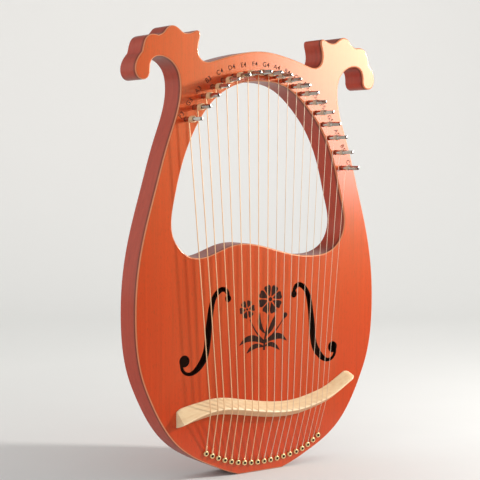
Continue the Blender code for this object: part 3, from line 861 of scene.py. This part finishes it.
def make_sprig(look):
    """A plain wildflower sprig burnt into the front: two blossoms, a bud and narrow leaves."""
    shapes = []
    for x, z, petals, length, width, core, lean in ((12, 192.5, 8, 14.0, 11.2, 3.4, 0.30),
                                                    (-19.5, 183, 6, 8.6, 8.8, 2.3, 0.15)):
        for k in range(petals):
            angle = lean + 2 * math.pi * k / petals
            root = (x + (core - 0.2) * math.cos(angle), z + (core - 0.2) * math.sin(angle))
            shapes.append(petal(root, angle, length, width, 0.10))
        shapes.append(circle(x, z, core - 1.0, 20))
    shapes.append(blade([(10, 175.5), (8, 163), (5, 150), (3.5, 136)], [1.3, 1.7, 2.2, 2.6]))
    shapes.append(blade([(-16, 171.5), (-10, 161), (-3, 152), (3.4, 146)], [1.1, 1.4, 1.7, 2.0]))
    shapes.append(blade([(29, 168), (22, 159.5), (13, 151), (5.3, 146.5)], [1.0, 1.3, 1.6, 1.9]))
    shapes.append(petal((29.0, 168.3), 0.95, 9.5, 7.0))
    for line, widths in (([(6, 152), (13, 160), (17, 168), (19.5, 175)], [1.5, 5.5, 5.0, 0.4]),
                         ([(5.4, 144.5), (15, 149.5), (26, 150), (35, 144.5)],
                          [1.5, 6.5, 6.0, 0.4]),
                         ([(4.8, 140.5), (12, 142), (19, 139.5), (25, 134.5)],
                          [1.4, 5.0, 4.6, 0.4]),
                         ([(4.6, 155), (-1, 162), (-3, 170), (-2, 178)], [1.4, 4.6, 4.4, 0.4]),
                         ([(3.2, 144), (-8, 149.5), (-20, 149.5), (-30, 143.5)],
                          [1.5, 6.5, 6.0, 0.4]),
                         ([(3.0, 140), (-6, 141.5), (-14, 139), (-20, 134)],
                          [1.4, 5.0, 4.6, 0.4])):
        shapes.append(blade(line, widths))
    made = []
    for n, shape in enumerate(shapes):
        top = FRONT - 0.05 - 0.004 * n
        made.append(loft([[(x, y, z) for x, z in shape] for y in (top, FRONT + 0.02)]))
    sprig = dress(piece("flower_sprig_print", *together(made)), look, 30)
    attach(sprig, ROOT)


# ---- stage -----------------------------------------------------------------------------------
def make_stage():
    look = Look("stage_paper")
    grain = look.noise((9, 9, 9), detail=2)
    colour = look.mix(grain, (0.68, 0.68, 0.68), (0.72, 0.72, 0.72))
    # Painted shade and light on the paper: darker floor in front, lighter behind and up the sweep.
    colour = look.mix(look.between(look.axis("Y"), -0.1, 0.8), colour, (0.88, 0.88, 0.87))
    colour = look.mix(look.between(look.axis("Z"), 0.0, 0.35), colour, (0.90, 0.89, 0.88))
    # In front of the lyre the floor is near black in reflections only: a painted dark reflection in
    # the lacquer.
    ahead = look.between(look.axis("Y"), 0.10, -0.30)
    shiny = look.tree.nodes.new("ShaderNodeLightPath").outputs["Is Glossy Ray"]
    colour = look.mix(look.maths("MULTIPLY", ahead, shiny), colour, (0.06, 0.06, 0.06))
    look.set(Base_Color=colour, Roughness=0.9, Specular_IOR_Level=0.0)
    turn = math.radians(-34.7)
    rows = [(-2600, 0), (1400, 0)]
    rows += [(1400 + 700 * math.sin(math.radians(a)), 700 - 700 * math.cos(math.radians(a)))
             for a in range(6, 91, 6)]
    rows.append((2100, 1500))
    vertices = []
    for depth, height in rows:
        for across in (-3500, 3500):
            x = across * math.cos(turn) - depth * math.sin(turn)
            y = across * math.sin(turn) + depth * math.cos(turn)
            vertices.append((x, y, height - 0.2))
    faces = [[2 * k, 2 * k + 1, 2 * k + 3, 2 * k + 2] for k in range(len(rows) - 1)]
    sweep = piece("stage_sweep", vertices, faces)
    dress(sweep, look.material, 60)


def area_light(name, place, target, size, power, colour, shine_only):
    """A soft lamp aimed at a point; a shine-only one lights nothing but its own reflection."""
    light = bpy.data.lights.new(name, "AREA")
    light.shape = "RECTANGLE"
    light.size, light.size_y = size
    light.energy = power
    light.color = colour
    lamp = bpy.data.objects.new(name, light)
    bpy.context.scene.collection.objects.link(lamp)
    lamp.location = place
    aim = Vector(target) - Vector(place)
    lamp.rotation_euler = aim.to_track_quat("-Z", "Y").to_euler()
    lamp.visible_diffuse = not shine_only


def make_world():
    """A pale room, dimmer overhead; what shines in the lacquer from front right is flagged off."""
    world = bpy.data.worlds.new("studio")
    bpy.context.scene.world = world
    world.use_nodes = True
    tree = world.node_tree
    background = tree.nodes["Background"]

    def link(value, socket):
        if isinstance(value, bpy.types.NodeSocket):
            tree.links.new(value, socket)
        else:
            socket.default_value = value

    def maths(operation, first, second):
        node = tree.nodes.new("ShaderNodeMath")
        node.operation = operation
        link(first, node.inputs[0])
        link(second, node.inputs[1])
        return node.outputs["Value"]

    def between(value, low, high, to_low, to_high):
        node = tree.nodes.new("ShaderNodeMapRange")
        node.interpolation_type = "SMOOTHSTEP"
        tree.links.new(value, node.inputs["Value"])
        for name, number in (("From Min", low), ("From Max", high), ("To Min", to_low),
                             ("To Max", to_high)):
            node.inputs[name].default_value = number
        return node.outputs["Result"]

    direction = tree.nodes.new("ShaderNodeTexCoord").outputs["Generated"]
    parts = tree.nodes.new("ShaderNodeSeparateXYZ")
    tree.links.new(direction, parts.inputs["Vector"])
    room = between(parts.outputs["Z"], 0.05, 0.95, WORLD_LEVEL, WORLD_OVERHEAD)
    flag = tree.nodes.new("ShaderNodeVectorMath")
    flag.operation = "DOT_PRODUCT"
    tree.links.new(direction, flag.inputs[0])
    flag.inputs[1].default_value = FLAG_DIRECTION
    shade = between(flag.outputs["Value"], 0.15, 0.75, 1.0, FLAG_LEVEL)
    high = between(parts.outputs["Z"], 0.25, 0.6, 1.0, 0.35)
    path = tree.nodes.new("ShaderNodeLightPath").outputs["Is Glossy Ray"]
    dim = maths("SUBTRACT", 1.0, maths("MULTIPLY", shade, high))
    room = maths("MULTIPLY", room, between(parts.outputs["X"], -0.9, 0.3, 1.12, 1.0))
    strength = maths("MULTIPLY", room, maths("SUBTRACT", 1.0, maths("MULTIPLY", path, dim)))
    tree.links.new(strength, background.inputs["Strength"])
    background.inputs["Color"].default_value = (0.98, 0.98, 0.96, 1)


def make_light():
    make_world()
    for lamp in LAMPS:
        area_light(*lamp)
    bpy.context.scene.view_settings.view_transform = "Standard"


def make_camera():
    """The viewing place worked out from the lyre's own mirror symmetry."""
    data = bpy.data.cameras.new("camera")
    data.sensor_width = 36
    data.lens = 96.53
    camera = bpy.data.objects.new("camera", data)
    bpy.context.scene.collection.objects.link(camera)
    right = Vector((0.82197, -0.56953, 0.00363))
    up = Vector((0.03105, 0.05117, 0.99821))
    back = Vector((-0.56869, -0.82038, 0.05975))
    spot = Vector((-0.83246, -1.17467, 0.34449))
    camera.matrix_world = Matrix(((right.x, up.x, back.x, spot.x), (right.y, up.y, back.y, spot.y),
                                  (right.z, up.z, back.z, spot.z), (0, 0, 0, 1)))
    bpy.context.scene.camera = camera


def main():
    red = mahogany()
    raw = raw_wood("bare_mahogany", (0.10, 0.035, 0.018), (0.20, 0.075, 0.040))
    burnt = raw_wood("burnt_edge", (0.012, 0.006, 0.004), (0.035, 0.015, 0.010))
    steel = metal_look("nickel_plate", (0.52, 0.49, 0.44), (0.26, 0.23, 0.19), 0.17)
    nail = metal_look("blackened_steel", (0.07, 0.055, 0.045), (0.03, 0.022, 0.018), 0.42)
    brass = metal_look("brass", (1.0, 0.76, 0.38), (0.66, 0.42, 0.18), 0.34, 0.5)
    wound = wire_look("wound_bronze", (0.98, 0.65, 0.38), (0.64, 0.38, 0.20), 0.42, 0.42, 0.35)
    plain = wire_look("plain_steel", (0.84, 0.64, 0.48), (0.54, 0.40, 0.30), 0.42, 0.90, 0.10)
    ink = ink_look("burnt_print", (0.020, 0.008, 0.005), (0.085, 0.026, 0.013))
    stamp = ink_look("label_print", (0.055, 0.015, 0.008), (0.105, 0.028, 0.014))
    make_shell(red, raw, burnt)
    make_bridge(maple_look())
    pin_mesh = tuning_pin_mesh(steel)
    for i in range(STRINGS):
        wire = wound if i < WOUND_STRINGS else plain
        make_tuning_pin(i, pin_mesh)
        make_coil(i, wire)
        make_string(i, wire, brass)
        make_hitch_pin(i, nail)
    make_labels(stamp)
    make_sprig(ink)
    make_stage()
    make_light()
    make_camera()


main()
